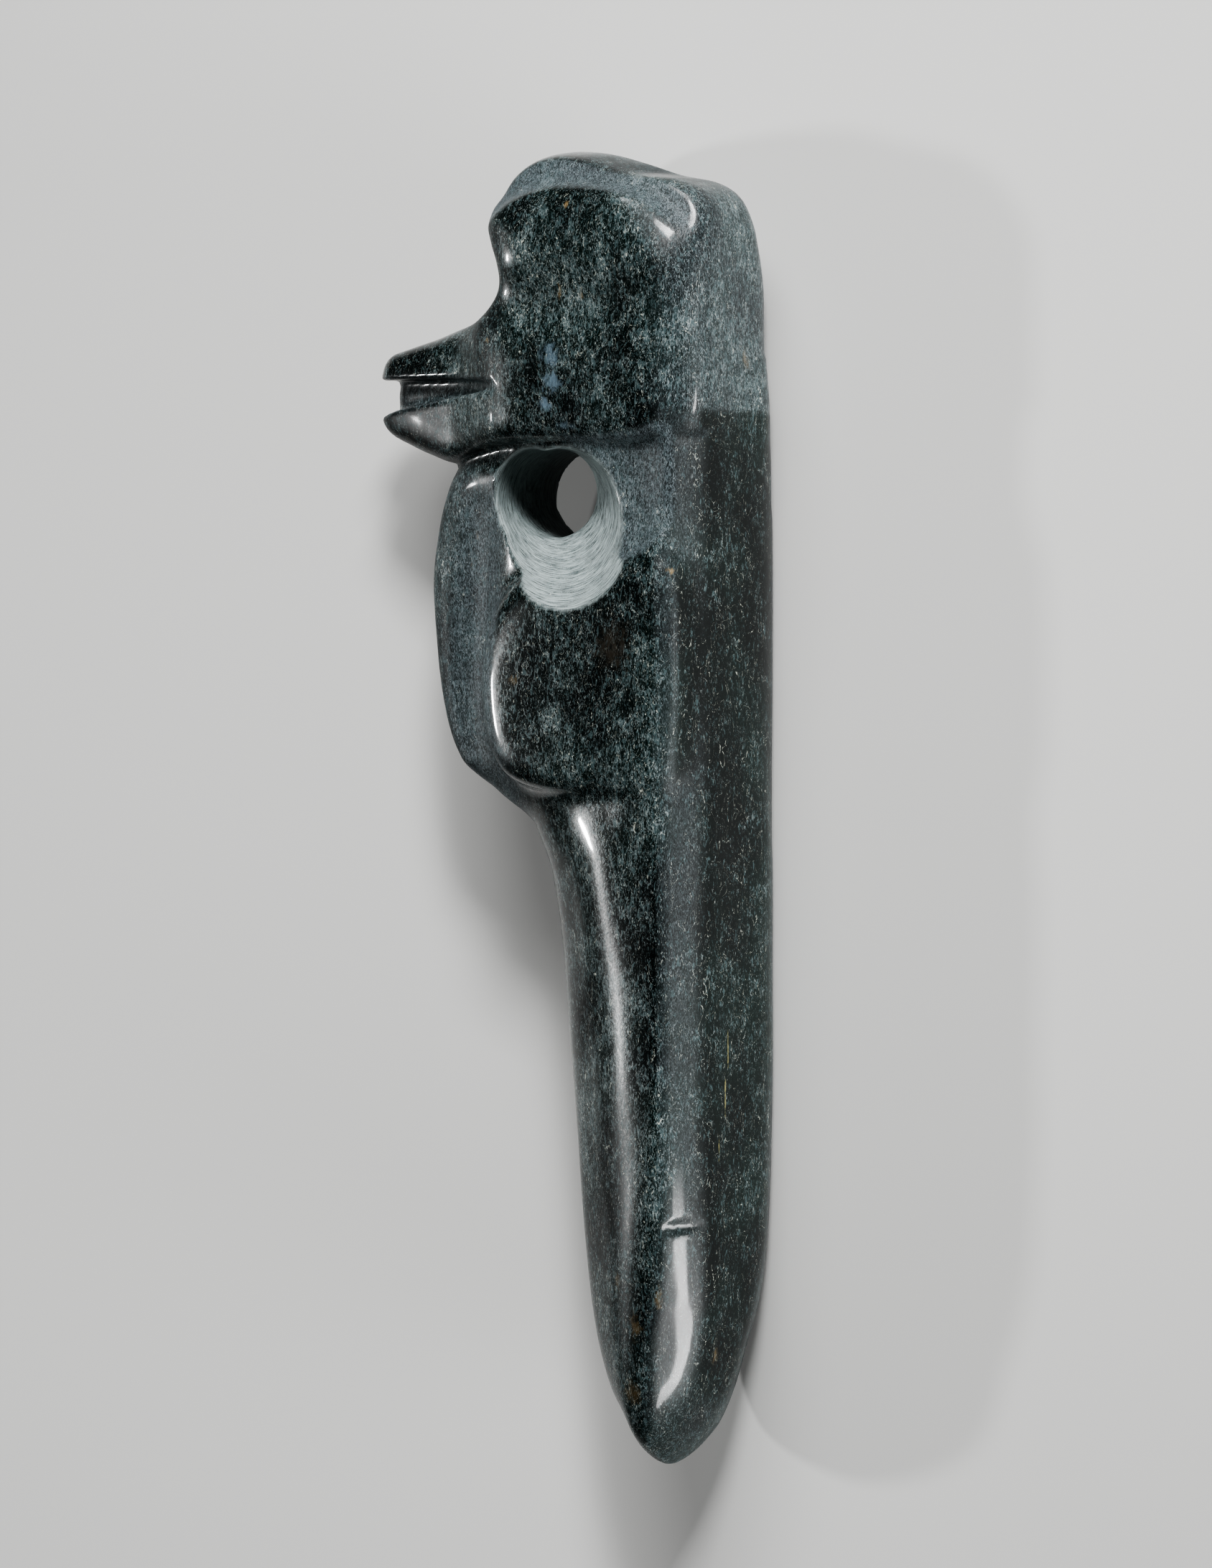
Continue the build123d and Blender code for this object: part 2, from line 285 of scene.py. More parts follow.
# Paths of grooves. The wing's is forward, up and the height of its middle over
# the body, the nick's is forward, up and side, and the others are forward, up
# and out.
WING_GROOVE = [
    (8.0, 49.6, 3.3), (13.0, 50.0, 2.9), (17.4, 51.2, 2.0), (20.0, 54.0, 1.6), (21.0, 58.0, 1.6),
    (20.7, 63.0, 1.7), (20.4, 67.5, 1.9), (20.2, 72.0, 2.1),
]
CREST_GROOVE = [
    (19.9, 96.0, 5.9), (17.4, 97.9, 5.9), (13.8, 99.0, 5.9), (10.5, 99.1, 5.9), (7.2, 98.7, 5.9),
    (4.5, 97.9, 5.8), (2.5, 96.7, 5.8), (0.7, 95.2, 5.9), (-0.5, 93.5, 6.4), (-1.2, 92.0, 7.3),
]
CHEEK_GROOVE = [(24.0, 89.2, 8.6), (19.0, 88.6, 9.4), (12.0, 88.2, 9.9), (4.0, 88.0, 10.3)]
NICK = [(1.85, 18.1, 6.4), (0.08, 18.4, 3.7)]
WING_GROOVE_RADIUS, CREST_GROOVE_RADIUS, CHEEK_GROOVE_RADIUS, NICK_RADIUS = 2.6, 1.75, 3.5, 0.55

# How wide the edges are rounded. The face's are wider on the lobes, between two
# levels, and never more than a share of the half width.
FACE_EDGE, LOBE_MORE_EDGE, LOBE_RISE, MOST_EDGE = 3.0, 2.4, (88.5, 95.5), 1.1
WING_EDGE, FACET_EDGE, CREST_EDGE, HEAD_BEVEL_EDGE = 3.4, 1.6, 2.8, 2.2
WING_GROOVE_EDGE, CREST_GROOVE_EDGE, CHEEK_GROOVE_EDGE, NICK_EDGE = 2.4, 0.8, 2.0, 0.45
SCOOP_EDGE, MOUTH_EDGE, HOLE_EDGE = 1.0, 0.5, 0.3
# How wide the joins are filled
CREST_JOIN, WING_JOIN, HEAD_JOIN = 0.8, 1.0, 1.0


def wing(forward, up, out):
    """The raised wing, slightly crowned."""
    past_corner = np.clip(forward + up - WING_CORNER, 0, None)
    crown = WING_CROWN * (forward - WING_MIDDLE) ** 2 + WING_CORNER_CROWN * past_corner ** 2
    return smooth_max(outline_field(forward, up, WING), out - HALF_WIDTH + crown, WING_EDGE)


def wing_groove(forward, up, core):
    """The groove round the front of the wing, which runs over the body."""
    return tube((forward, up, core), WING_GROOVE, WING_GROOVE_RADIUS)


def crest_groove(forward, up, out):
    """The groove that parts the crest from the lobes, which fades down the back."""
    return tube((forward, up, out), CREST_GROOVE, CREST_GROOVE_RADIUS)


def head(forward, up, side, out):
    """The lobes, the cheeks and both mandibles as one, with the crest over them."""
    half_width = smooth_curve(forward, *zip(*HEAD_PLAN))
    half_width = half_width - LOBE_CROWN * np.clip(up - LOBE_LEVEL, 0, None) ** 2
    taper = BEAK_TAPER * step_between(forward, *BEAK_ROOT)
    half_width = half_width - taper * np.clip(up - BEAK_LEVEL, 0, None)
    edge = np.minimum(FACE_EDGE + LOBE_MORE_EDGE * step_between(up, *LOBE_RISE), MOST_EDGE * half_width)
    face = smooth_max(outline_field(forward, up, FACE), out - half_width, edge)
    facet = sum((place - at) * way for place, at, way in zip((forward, up, out), *LOBE_FACET))
    face = smooth_max(face, facet, FACET_EDGE)
    crest = outline_field(forward, up, CREST) + CREST_CROWN * out ** 2
    crest = smooth_max(crest, out - CREST_HALF_WIDTH, CREST_EDGE)
    both = smooth_min(face, crest, CREST_JOIN)
    bevel = edge_field(forward - BACK_LEAN * side, out, *HEAD_BEVEL)
    both = smooth_max(both, bevel, HEAD_BEVEL_EDGE)
    both = carve(both, crest_groove(forward, up, out), CREST_GROOVE_EDGE)
    cheek_groove = tube((forward, up, out), CHEEK_GROOVE, CHEEK_GROOVE_RADIUS)
    return carve(both, cheek_groove, CHEEK_GROOVE_EDGE)


# The mouth: both lips as forward and up, how deep it goes and between which
# places it deepens, where it ends, and how wide its inner edges are rounded
LOWER_LIP = [(17.0, 81.8), (22.0, 81.4), (26.0, 80.9), (29.0, 80.4), (31.4, 79.8)]
UPPER_LIP = [(17.0, 82.2), (20.0, 82.6), (24.0, 82.75), (31.4, 82.75)]
MOUTH_DEPTH, MOUTH_DEEPENS, MOUTH_END = 1.15, (16.5, 21.0), 17.2
GAP_EDGE, MOUTH_END_EDGE, MOUTH_FLOOR_EDGE = 0.5, 1.0, 0.7


def mouth(forward, up, head_field):
    """The gap between the mandibles, which leaves a wall of stone behind the lips."""
    lower_lip = smooth_curve(forward, *zip(*LOWER_LIP))
    upper_lip = smooth_curve(forward, *zip(*UPPER_LIP))
    depth = MOUTH_DEPTH * step_between(forward, *MOUTH_DEEPENS)
    gap = smooth_max(up - upper_lip, lower_lip - up, GAP_EDGE)
    gap = smooth_max(gap, MOUTH_END - forward, MOUTH_END_EDGE)
    return smooth_max(gap, -(head_field + depth), MOUTH_FLOOR_EDGE)


# The scoop at the neck: a shallow dish with an outline, and a hollow under the jaw
DISH_MIDDLE, DISH_FLOOR, DISH_RADIUS = (6.2, 74.6), 5.5, 20.0
DISH = [
    (-1.5, 75.5), (0.3, 78.0), (2.4, 78.7), (5.0, 78.0), (10.0, 77.7), (16.0, 77.7), (21.0, 77.2),
    (20.0, 72.0), (14.0, 69.4), (8.0, 68.6), (5.0, 69.4), (3.0, 70.5), (1.5, 72.0), (-0.5, 73.8),
]
DISH_EDGE = 0.9
JAW_HOLLOW = [(9.0, 73.6, 9.8), (17.0, 73.6, 8.8), (28.0, 73.8, 7.8)]
JAW_HOLLOW_RADIUS, JAW_HOLLOW_JOIN = 3.9, 1.2


def neck_scoop(forward, up, out):
    """What is cut from both sides between the jaw and the wing."""
    from_middle = np.hypot(forward - DISH_MIDDLE[0], up - DISH_MIDDLE[1])
    dish = np.hypot(from_middle, out - DISH_FLOOR - DISH_RADIUS) - DISH_RADIUS
    dish = smooth_max(dish, outline_field(forward, up, DISH), DISH_EDGE)
    jaw_hollow = tube((forward, up, out), JAW_HOLLOW, JAW_HOLLOW_RADIUS)
    return smooth_min(dish, jaw_hollow, JAW_HOLLOW_JOIN)


# The hole: its straight throat, and the narrow and wide ends of the cone that is
# drilled slantwise from each side, as forward, up, out and radius
THROAT = (15.05, 73.8, 1.5, 3.25)
CONE_END = (14.4, 73.95, 1.8, 3.3)
RIM = (11.5, 71.6, 6.3, 5.65)
# How much the throat widens outwards, and how wide its join to the cone is filled
THROAT_FLARE, THROAT_JOIN = 0.07, 0.4


def cone_share(out):
    """How far out a place lies along the cone: 0 at its end and 1 at its rim."""
    return (out - CONE_END[2]) / (RIM[2] - CONE_END[2])


def cone_at(share):
    """The forward and up of the cone's middle, and its radius, at a share of its length."""
    return [CONE_END[i] + (RIM[i] - CONE_END[i]) * share for i in (0, 1, 3)]


def hole(forward, up, out):
    """The straight throat, and the cone drilled slantwise from each side."""
    middle_forward, middle_up, radius = cone_at(np.clip(cone_share(out), 0, None))
    cone = np.hypot(forward - middle_forward, up - middle_up) - radius
    flare = THROAT_FLARE * np.clip(out - THROAT[2], 0, None)
    straight = np.hypot(forward - THROAT[0], up - THROAT[1]) - THROAT[3] - flare
    return smooth_min(cone, straight, THROAT_JOIN)


# The slight waves that grinding by hand leaves
WAVES = [
    # height, radians along forward, up and side, start in radians
    (0.015, 0.9, 0.37, 0.0, 0.0),
    (0.009, 0.0, 0.53, -0.8, 1.3),
    (0.012, 0.6, 0.17, 0.5, 2.0),
]


def hand_work(forward, up, side):
    """How far the waves lower the surface at each place."""
    return sum(
        height * np.sin(on_forward * forward + on_up * up + on_side * side + start)
        for height, on_forward, on_up, on_side, start in WAVES
    )


def stone_field(points):
    """The whole stone at each place: below zero inside."""
    forward, up, side = points
    out = outward(side)
    core = stone_core(forward, up, side, out)
    field = carve(core, wing_groove(forward, up, core), WING_GROOVE_EDGE)
    field = smooth_min(field, wing(forward, up, out), WING_JOIN)
    field = carve(field, neck_scoop(forward, up, out), SCOOP_EDGE)
    head_field = head(forward, up, side, out)
    field = smooth_min(field, head_field, HEAD_JOIN)
    field = carve(field, mouth(forward, up, head_field), MOUTH_EDGE)
    field = carve(field, tube((forward, up, side), NICK, NICK_RADIUS), NICK_EDGE)
    field = field + hand_work(forward, up, side)
    return carve(field, hole(forward, up, out), HOLE_EDGE)


# How the surface was worked

# Each zone fades in from the first to the second value of each of its steps,
# along forward, along up, or by how squarely the surface faces back
ZONES = {
    "slab": [("forward", 4.2, 1.2), ("up", 79.7, 80.4)],
    # The back zone is left satin, and the material also darkens it as painted shade
    "back": [("faces back", 0.35, 0.75)],
    "corner": [("faces back", 0.10, 0.35), ("faces back", 0.97, 0.88)],
    "upper blade": [("up", 17.0, 24.0)],
    "channel": [("forward", 15.0, 18.0)],
    "chest": [("forward", 19.0, 22.0), ("up", 78.0, 75.0)],
    "jaw": [("forward", 22.0, 25.0), ("up", 75.0, 77.0), ("up", 82.0, 80.0)],
    "beak root": [("forward", 16.0, 18.0), ("forward", 24.0, 21.5), ("up", 76.0, 78.0)],
    "worn": [("up", 32.0, 22.0), ("forward", 4.0, 6.0)],
}
# How dull each cutter and zone is ground, and how satin it is left
GROUND = {
    "crest groove": 1.0, "scoop": 0.85, "lips": 0.35, "channel": 0.85, "chest": 0.3, "slab": 0.42,
    "corner": 0.3,
}
SATIN = {
    "back": 0.5, "chest": 1.0, "channel": 1.0, "worn": 0.5, "corner": 1.0, "jaw": 0.6,
    "beak root": 0.8,
}
# How far from its cutter a mark fades out, and the share of that where it starts to
CREST_GROOVE_REACH, SCOOP_REACH, LIP_REACH, CHANNEL_REACH, DRILL_REACH = 0.35, 0.8, 0.5, 1.2, 0.3
FADE_START = 0.3
# The corner's mark on the lower blade, as a share of that higher up
LOW_CORNER = 0.6


def near(field, reach):
    """1 on a cutter's own surface, and 0 where the stone is more than the reach from it."""
    return 1 - step_between(field, FADE_START * reach, reach)


def zone_shares(ways):
    """How much each place lies in each zone."""
    return {
        name: np.prod([step_between(ways[way], start, full) for way, start, full in steps], axis=0)
        for name, steps in ZONES.items()
    }


def strongest(strengths, masks):
    """The strongest of several masks at each place."""
    return np.maximum.reduce([strength * masks[name] for name, strength in strengths.items()])


def surface_masks(places, normals):
    """How the surface at each place was worked: ground dull, drilled, or left satin; also where it
    faces back, which carries painted shade, and the slab.
    """
    forward, up, side = places
    out = outward(side)
    masks = zone_shares({"forward": forward, "up": up, "faces back": -normals[0]})
    masks["back"] *= 1 - masks["slab"]
    masks["corner"] *= (LOW_CORNER + (1 - LOW_CORNER) * masks["upper blade"]) * (1 - masks["slab"])
    core = stone_core(forward, up, side, out)
    masks["channel"] *= near(wing_groove(forward, up, core), CHANNEL_REACH)
    masks["crest groove"] = near(crest_groove(forward, up, out), CREST_GROOVE_REACH)
    masks["scoop"] = near(neck_scoop(forward, up, out), SCOOP_REACH)
    masks["lips"] = near(mouth(forward, up, head(forward, up, side, out)), LIP_REACH)
    drilled = near(hole(forward, up, out), DRILL_REACH)
    return {
        "ground": strongest(GROUND, masks) * (1 - drilled),
        "drilled": drilled,
        "satin": strongest(SATIN, masks),
        # The back's mask also carries painted shade: the material thins the flecks there to darken the
        # back
        "back": masks["back"],
        "slab": masks["slab"],
    }


# How fast the noise on the cone changes round it, away from its middle and with depth
RING_ROUND, RING_AWAY, RING_DEPTH = 1.5, 4.0, 3.0


def drill_rings(places):
    """Places on the drilled cone, stretched so that noise in them runs in rings."""
    forward, up, side = places
    out = np.abs(side)
    middle_forward, middle_up, _ = cone_at(cone_share(out))
    across, along = forward - middle_forward, up - middle_up
    turn = np.arctan2(along, across)
    depth = RING_AWAY * np.hypot(across, along) + RING_DEPTH * out
    return np.stack([RING_ROUND * np.cos(turn), RING_ROUND * np.sin(turn), depth], 1)


# From the field to the mesh

# The grid's step, and how far it reaches past the stone
STEP, MARGIN = 0.29, 0.8
# How far apart slopes are measured, and how far one pull may move a corner
SLOPE_REACH, MOST_PULL = 0.03, 0.3


def grid_places():
    """The places of a grid round the stone."""
    low = np.array([-MARGIN, -MARGIN, -HALF_WIDTH - MARGIN])
    high = np.array([BEAK_REACH + MARGIN, 100 + MARGIN, HALF_WIDTH + MARGIN])
    counts = np.ceil((high - low) / STEP).astype(int) + 1
    axes = [low[i] + STEP * np.arange(counts[i]) for i in range(3)]
    return low, np.meshgrid(*axes, indexing="ij", sparse=True)


def slopes_at(places):
    """The field and its slopes at each place."""
    here = stone_field(places)
    slopes = []
    for axis in range(3):
        moved = [place.copy() for place in places]
        moved[axis] += SLOPE_REACH
        slopes.append((stone_field(moved) - here) / SLOPE_REACH)
    return here, slopes


def pulled_onto_stone(places, rounds=2):
    """The places moved along the field's slope until they lie on the stone, with their normals."""
    for _ in range(rounds):
        here, slopes = slopes_at(places)
        steepness = sum(slope * slope for slope in slopes) + 1e-9
        move = np.clip(here / steepness, -MOST_PULL, MOST_PULL)
        places = [place - move * slope for place, slope in zip(places, slopes)]
    return places, [slope / np.sqrt(steepness) for slope in slopes]


def in_frame(forward, up, side):
    """Places of the stone in metres, in the frame."""
    return np.stack([
        back_x - forward * unit,
        frame_low.y + up * unit,
        middle_z + side * unit,
    ], axis=-1)


def stone_mesh(name):
    """The stone as a mesh in the frame's place and size, with its masks as attributes."""
    low, places = grid_places()
    grid = openvdb.FloatGrid(1.0)
    grid.copyFromArray(stone_field(places).astype(np.float32))
    corners, quads = grid.convertToQuads(0.0)
    places = [low[i] + STEP * corners[:, i].astype(float) for i in range(3)]
    places, normals = pulled_onto_stone(places)
    mesh = bpy.data.meshes.new(name)
    mesh.from_pydata(in_frame(*places).tolist(), [], quads.tolist())
    mesh.shade_smooth()
    for label, values in surface_masks(places, normals).items():
        mesh.attributes.new(label, "FLOAT", "POINT").data.foreach_set("value", values)
    rings = mesh.attributes.new("rings", "FLOAT_VECTOR", "POINT")
    rings.data.foreach_set("vector", drill_rings(places).ravel())
    stone = bpy.data.objects.new(name, mesh)
    bpy.context.scene.collection.objects.link(stone)
    return stone


# The jade

class Nodes:
    """Short ways to add the nodes of one material."""

    def __init__(self, tree):
        self.tree = tree

    def add(self, kind, inputs, **settings):
        """A node with its settings and its inputs, each a value or another node's socket."""
        made = self.tree.nodes.new(kind)
        for name, value in settings.items():
            setattr(made, name, value)
        for name, value in inputs.items():
            if isinstance(value, bpy.types.NodeSocket):
                self.tree.links.new(value, made.inputs[name])
            else:
                made.inputs[name].default_value = value
        return made

    def math(self, operation, first, *others):
        """One value out of several, taken in one after the other."""
        for other in others:
            first = self.add("ShaderNodeMath", {0: first, 1: other}, operation=operation).outputs[0]
        return first

    def plus(self, *values):
        return self.math("ADD", *values)

    def less(self, first, second):
        return self.math("SUBTRACT", first, second)

    def times(self, *values):
        return self.math("MULTIPLY", *values)

    def step(self, value, low, high):
        """0 below low, 1 above high, and a smooth rise between them."""
        inputs = {"Value": value, "From Min": low, "From Max": high}
        settings = {"interpolation_type": "SMOOTHSTEP", "clamp": True}
        return self.add("ShaderNodeMapRange", inputs, **settings).outputs["Result"]

    def mix(self, share, first, second):
        """The second colour over the first by a share."""
        inputs = {0: share, 6: first, 7: second}
        return self.add("ShaderNodeMix", inputs, data_type="RGBA").outputs[2]

    def attribute(self, name, output="Fac"):
        return self.add("ShaderNodeAttribute", {}, attribute_name=name).outputs[output]

    def stretched(self, place, factors):
        """A place with each direction multiplied."""
        inputs = {0: place, 1: factors}
        return self.add("ShaderNodeVectorMath", inputs, operation="MULTIPLY").outputs[0]

    def noise(self, place, grains, detail, distortion, roughness):
        """Noise from 0 to 1."""
        inputs = {
            "Vector": self.stretched(place, grains), "Scale": 1.0, "Detail": detail,
            "Distortion": distortion, "Roughness": roughness,
        }
        return self.add("ShaderNodeTexNoise", inputs).outputs["Fac"]


NOISES = {
    # name: grains per metre along X, Y and Z, detail, distortion, roughness
    "clouds": ((170, 110, 170), 3.0, 0.0, 0.50),
    "patches": ((900, 550, 900), 3.0, 0.8, 0.50),
    "fibres": ((4300, 1900, 4300), 4.0, 1.0, 0.60),
    "threads": ((7500, 2600, 7500), 3.0, 2.0, 0.50),
    "specks": ((4200, 2300, 4200), 4.0, 1.5, 0.50),
    "hairs": ((900, 420, 900), 2.0, 1.0, 0.50),
    "ragged": ((2600, 1300, 2600), 4.0, 0.0, 0.65),
    "strokes": ((9000, 350, 9000), 2.0, 0.0, 0.50),
    "pits": ((3600, 2600, 3600), 3.0, 0.0, 0.50),
}
# The same for the noise in the drill's rings, whose places are not in metres
RING_NOISE = ((2.5, 2.5, 4), 5.0, 0.0, 0.70)

BLACK_GREEN, DEEP_GREEN = (0.0015, 0.0035, 0.0033, 1), (0.0030, 0.0100, 0.0082, 1)
TEAL_FLECK, GREY_FLECK = (0.055, 0.086, 0.090, 1), (0.28, 0.32, 0.32, 1)
PALE_FIBRE, GROUND_GREY = (0.50, 0.52, 0.46, 1), (0.15, 0.18, 0.195, 1)
DRILLED_GREY = (0.35, 0.405, 0.405, 1)
OCHRE, BROWN, BLUE_WHITE = (0.22, 0.155, 0.075, 1), (0.030, 0.026, 0.020, 1), (0.15, 0.21, 0.26, 1)
YELLOW = (0.26, 0.24, 0.11, 1)

FLECKS = [
    # noise, its value where flecks start, and where they are full, strength, colour
    ("fibres", 0.48, 0.63, 0.80, TEAL_FLECK),
    ("threads", 0.54, 0.70, 0.65, GREY_FLECK),
    ("specks", 0.66, 0.76, 0.80, PALE_FIBRE),
]
# How much the clouds and the patches gather the flecks, and how much the flecks are thinned where the
# surface faces back, as painted shade that darkens the back
CLOUD_SHARE, PATCH_SHARE, BACK_PAINTED_SHADE = 0.20, 0.25, 0.06
# A hair runs where its noise is within these of its middle, and breaks off by the threads
HAIR_WIDTH, HAIR_BREAKS, HAIR_STRENGTH = (0.001, 0.006), (0.45, 0.60), 0.6
# The black green turns to deep green as the clouds' noise rises between these
CLOUD_EDGE = (0.35, 0.65)
# Ground stone is a little pale everywhere, and gets paler as the threads' noise rises between these
GROUND_GRAIN, GROUND_LEAST, GROUND_MORE = (0.38, 0.68), 0.08, 0.85
# Drilled stone gets pale as the rings' noise rises between these
RING_EDGE = (0.31, 0.63)

# How rough the stone is where polished, and how much rougher where unpolished and in flecks
POLISHED, UNPOLISHED_MORE, FLECK_MORE = 0.24, 0.28, 0.06
COAT, COAT_ROUGHNESS, SPECULAR = 0.5, 0.08, 0.26
# The relief: each kind's share of its height, that height in metres, and how strongly it shows
PIT_SHARE, FLECK_SHARE, STROKE_SHARE, RING_SHARE = 0.22, 0.07, 1.2, 1.5
RELIEF_HEIGHT, RELIEF_STRENGTH = 0.00008, 0.35

# How ragged the marks' edges are, and between which distances they fade out, in half sizes
MARK_RAGGED, MARK_EDGE = 3.0, (1.5, 2.5)
# Single marks in the stone, each an ellipsoid
MARKS = [
    # forward, up, side, half sizes forward, up and side, colour, strength
    (11.0, 95.8, 6.2, 0.30, 0.30, 1.0, OCHRE, 0.8),
    (11.6, 89.1, 6.6, 0.22, 0.75, 1.0, OCHRE, 0.55),
    (9.6, 88.9, 6.6, 0.22, 0.60, 1.0, OCHRE, 0.5),
    (18.1, 85.5, 5.6, 0.45, 0.35, 1.0, OCHRE, 0.6),
    (0.0, 83.9, -1.6, 0.8, 0.90, 0.6, OCHRE, 0.35),
    (20.8, 70.7, 4.5, 0.25, 0.60, 1.5, OCHRE, 0.7),
    (21.4, 68.6, 4.3, 0.25, 0.30, 1.5, OCHRE, 0.7),
    (13.2, 69.2, 4.8, 0.90, 0.35, 1.4, OCHRE, 0.8),
    (16.2, 71.1, 4.8, 0.50, 0.80, 1.0, OCHRE, 0.6),
    (1.7, 67.9, 6.5, 0.30, 0.35, 1.0, OCHRE, 0.8),
    (15.4, 59.6, 6.9, 0.50, 0.50, 1.0, OCHRE, 0.4),
    (6.4, 62.3, 7.0, 2.20, 2.40, 1.5, BROWN, 0.8),
    (12.2, 84.2, 6.7, 0.95, 1.30, 1.5, BLUE_WHITE, 0.5),
    (12.0, 82.4, 6.7, 0.90, 1.30, 1.5, BLUE_WHITE, 0.6),
    (12.6, 80.5, 6.7, 0.70, 0.70, 1.5, BLUE_WHITE, 0.7),
    (10.8, 78.9, 6.7, 0.90, 0.50, 1.5, BLUE_WHITE, 0.35),
    (0.0, 31.6, 0.65, 0.6, 1.60, 0.10, YELLOW, 0.9),
    (0.0, 28.2, 0.98, 0.6, 1.90, 0.12, YELLOW, 0.9),
    (0.0, 24.4, 1.75, 0.6, 1.50, 0.10, YELLOW, 0.7),
    (6.7, 14.0, 6.5, 0.40, 1.40, 1.0, OCHRE, 0.3),
    (4.8, 10.7, 6.4, 0.60, 1.20, 1.0, OCHRE, 0.3),
    (2.9, 12.7, 6.2, 0.30, 1.10, 1.0, OCHRE, 0.35),
    (5.6, 5.6, 5.5, 1.00, 1.20, 1.0, OCHRE, 0.25),
    (1.0, 8.3, 0.5, 1.0, 0.70, 0.4, OCHRE, 0.35),
]


def with_marks(nodes, place, ragged, colour):
    """The colour with the single marks over it, ragged at their edges by a noise."""
    ragged = nodes.times(ragged, MARK_RAGGED)
    for forward, up, side, long, high, wide, mark, strength in MARKS:
        inputs = {0: place, 1: tuple(in_frame(forward, up, side))}
        offset = nodes.add("ShaderNodeVectorMath", inputs, operation="SUBTRACT").outputs[0]
        shares = tuple(1 / (size * unit) for size in (long, high, wide))
        inputs = {0: nodes.stretched(offset, shares)}
        distance = nodes.add("ShaderNodeVectorMath", inputs, operation="LENGTH").outputs["Value"]
        share = nodes.less(1.0, nodes.step(nodes.plus(distance, ragged), *MARK_EDGE))
        colour = nodes.mix(nodes.times(share, strength), colour, mark)
    return colour


def fibrous(nodes, noises, flecks):
    """The colour of the stone itself: dark, with clouds, flecks and hairs."""
    colour = nodes.mix(nodes.step(noises["clouds"], *CLOUD_EDGE), BLACK_GREEN, DEEP_GREEN)
    for share, (_, _, _, strength, fleck_colour) in zip(flecks, FLECKS):
        colour = nodes.mix(nodes.times(share, strength), colour, fleck_colour)
    off_line = nodes.math("ABSOLUTE", nodes.less(noises["hairs"], 0.5), 0.0)
    hair = nodes.less(1.0, nodes.step(off_line, *HAIR_WIDTH))
    hair = nodes.times(hair, nodes.step(noises["threads"], *HAIR_BREAKS))
    return nodes.mix(nodes.times(hair, HAIR_STRENGTH), colour, PALE_FIBRE)


def jade():
    """Polished dark green stone, dense with fibres, and pale where it was ground or drilled."""
    material = bpy.data.materials.new("jade")
    material.use_nodes = True
    nodes = Nodes(material.node_tree)
    place = nodes.add("ShaderNodeTexCoord", {}).outputs["Object"]
    ground, drilled, satin, back, slab = (
        nodes.attribute(name) for name in ("ground", "drilled", "satin", "back", "slab")
    )

    noises = {name: nodes.noise(place, *row) for name, row in NOISES.items()}
    more = nodes.plus(
        nodes.times(noises["clouds"], CLOUD_SHARE), nodes.times(noises["patches"], PATCH_SHARE),
    )
    # Painted shade: the flecks are thinned where the surface faces back, so the back looks darker
    fewer = nodes.plus(nodes.times(back, BACK_PAINTED_SHADE), (CLOUD_SHARE + PATCH_SHARE) / 2)
    density = nodes.less(more, fewer)
    flecks = [
        nodes.step(nodes.plus(noises[name], density), start, full)
        for name, start, full, _, _ in FLECKS
    ]
    colour = fibrous(nodes, noises, flecks)
    colour = with_marks(nodes, place, noises["ragged"], colour)
    grain = nodes.times(nodes.step(noises["threads"], *GROUND_GRAIN), GROUND_MORE)
    grain = nodes.plus(grain, GROUND_LEAST)
    colour = nodes.mix(nodes.times(ground, grain), colour, GROUND_GREY)
    rings = nodes.noise(nodes.attribute("rings", "Vector"), *RING_NOISE)
    colour = nodes.mix(nodes.times(drilled, nodes.step(rings, *RING_EDGE)), colour, DRILLED_GREY)

    unpolished = nodes.math("MAXIMUM", ground, drilled, satin)
    roughness = nodes.plus(
        nodes.times(unpolished, UNPOLISHED_MORE), nodes.times(flecks[0], FLECK_MORE), POLISHED,
    )
    height = nodes.plus(
        nodes.times(noises["pits"], PIT_SHARE),
        nodes.times(flecks[0], FLECK_SHARE),
        nodes.times(noises["strokes"], slab, STROKE_SHARE),
        nodes.times(rings, drilled, RING_SHARE),
    )
    relief = {"Height": height, "Strength": RELIEF_STRENGTH, "Distance": RELIEF_HEIGHT}
    shader = material.node_tree.nodes["Principled BSDF"]
    for name, socket in {
        "Base Color": colour,
        "Roughness": roughness,
        "Coat Weight": nodes.times(nodes.less(1.0, unpolished), COAT),
        "Normal": nodes.add("ShaderNodeBump", relief).outputs["Normal"],
    }.items():
        material.node_tree.links.new(socket, shader.inputs[name])
    shader.inputs["Coat Roughness"].default_value = COAT_ROUGHNESS
    shader.inputs["Specular IOR Level"].default_value = SPECULAR
    return material


stone = stone_mesh("carved_bird")
stone.data.materials.append(jade())
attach(stone, "root")
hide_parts("bird_pendant")


# The floor, the light and the camera

# How far the floor reaches each way, in metres
FLOOR_REACH = 1.5
FLOOR_COLOUR, FLOOR_ROUGHNESS = (0.62, 0.62, 0.61, 1), 0.9
LIGHTS = [
    # name, place in metres, width and height, watts, spread in degrees
    ("key", (-0.45, 0.00, 0.27), (0.048, 0.026), 0.11, 60),
    ("fill", (0.22, 0.42, 0.34), (0.14, 0.10), 0.43, 70),
    ("top", (0.02, 0.50, 0.30), (0.30, 0.16), 0.31, 70),
    ("rim", (0.47, -0.15, 0.055), (0.40, 0.05), 0.40, 60),
]
ROOM_LIGHT = 0.04
# How far the camera is turned from straight above, how far off it is in metres,
# how much it sees from top to bottom, and what it looks at
VIEW_ANGLE = radians(32)
VIEW_DISTANCE = 1.2
VIEW_HEIGHT = 119.6 * unit
AIM = Vector((4.27 * unit, 1.75 * unit, middle_z))


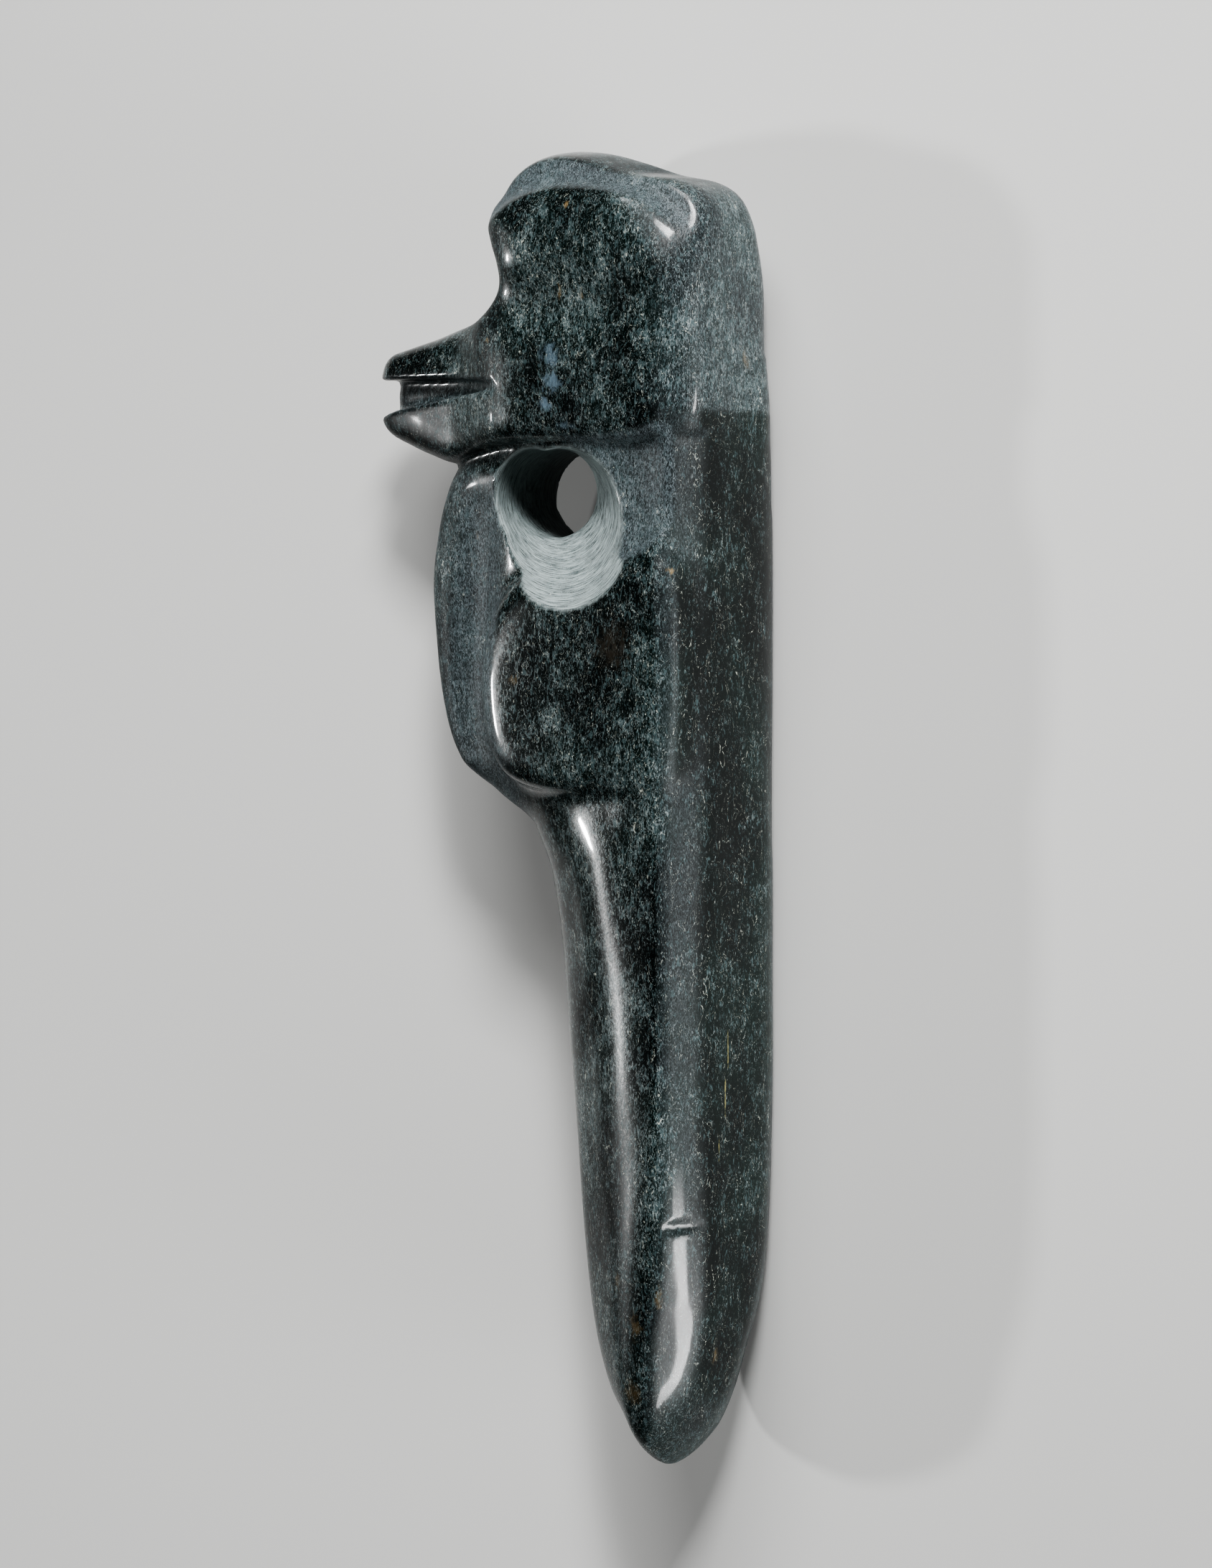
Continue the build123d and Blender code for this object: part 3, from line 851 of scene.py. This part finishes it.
def floor():
    """A plain pale floor."""
    mesh = bpy.data.meshes.new("floor")
    corners = [(-1, -1), (1, -1), (1, 1), (-1, 1)]
    mesh.from_pydata([(FLOOR_REACH * x, FLOOR_REACH * y, 0) for x, y in corners], [], [(0, 1, 2, 3)])
    made = bpy.data.objects.new("floor", mesh)
    bpy.context.scene.collection.objects.link(made)
    material = bpy.data.materials.new("floor")
    material.use_nodes = True
    shader = material.node_tree.nodes["Principled BSDF"]
    shader.inputs["Base Color"].default_value = FLOOR_COLOUR
    shader.inputs["Roughness"].default_value = FLOOR_ROUGHNESS
    mesh.materials.append(material)


def soft_light(name, place, size, power, spread):
    """A rectangular light turned to the stone, with a grid that keeps its beam within the spread."""
    data = bpy.data.lights.new(name, "AREA")
    data.shape = "RECTANGLE"
    data.size, data.size_y = size
    data.energy = power
    data.spread = radians(spread)
    light = bpy.data.objects.new(name, data)
    light.location = place
    towards_stone = Vector((0, 0, middle_z)) - Vector(place)
    light.rotation_euler = towards_stone.to_track_quat("-Z", "Y").to_euler()
    bpy.context.scene.collection.objects.link(light)


def camera():
    """The camera, turned from straight above towards the bird's back."""
    data = bpy.data.cameras.new("camera")
    # The picture is taller than wide, so the sensor's width lies along its height
    data.lens = data.sensor_width * VIEW_DISTANCE / VIEW_HEIGHT
    made = bpy.data.objects.new("camera", data)
    back = Vector((sin(VIEW_ANGLE), 0, cos(VIEW_ANGLE)))
    right = Vector((cos(VIEW_ANGLE), 0, -sin(VIEW_ANGLE)))
    turn = Matrix((right, Vector((0, 1, 0)), back)).transposed()
    made.matrix_world = Matrix.Translation(AIM + back * VIEW_DISTANCE) @ turn.to_4x4()
    bpy.context.scene.collection.objects.link(made)
    bpy.context.scene.camera = made


def studio():
    """The floor, the lights, the camera and the even light of the room."""
    floor()
    for light in LIGHTS:
        soft_light(*light)
    camera()
    world = bpy.data.worlds.new("studio")
    world.use_nodes = True
    room = (ROOM_LIGHT, ROOM_LIGHT, ROOM_LIGHT, 1)
    world.node_tree.nodes["Background"].inputs["Color"].default_value = room
    bpy.context.scene.world = world
    bpy.context.scene.view_settings.look = "AgX - High Contrast"


studio()
